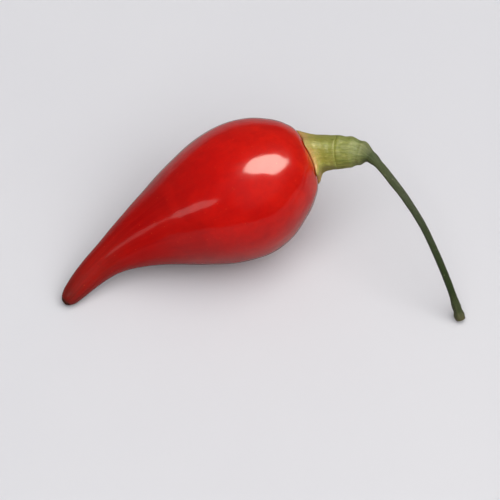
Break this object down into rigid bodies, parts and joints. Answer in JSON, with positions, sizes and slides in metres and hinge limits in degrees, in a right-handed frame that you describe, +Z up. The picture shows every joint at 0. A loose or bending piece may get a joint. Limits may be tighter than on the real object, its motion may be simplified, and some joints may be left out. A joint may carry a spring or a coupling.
{
  "type": "biquinho pepper",
  "caption": "Small ripe red drop-shaped pepper with a narrow beak, a green calyx and a thin bent stem, lying on its side as picked.",
  "frame": {"origin": "middle of the small flat spot under the belly, on the surface that the pepper lies on", "axes": "+X along the fruit from the beak towards the calyx, +Z up from the surface, -Z out of the flat spot"},
  "size_m": [0.0385, 0.0293, 0.0152],
  "materials": {
    "skin": "smooth waxy ripe pepper skin, deep glossy red",
    "calyx": "fresh light green, softly ribbed and satin",
    "stem": "dark green, finely ridged along its length, paler at the cut end"
  },
  "bodies": {
    "root": {"fruit": "skin", "calyx": "calyx", "stem": "stem"}
  },
  "joints": []
}
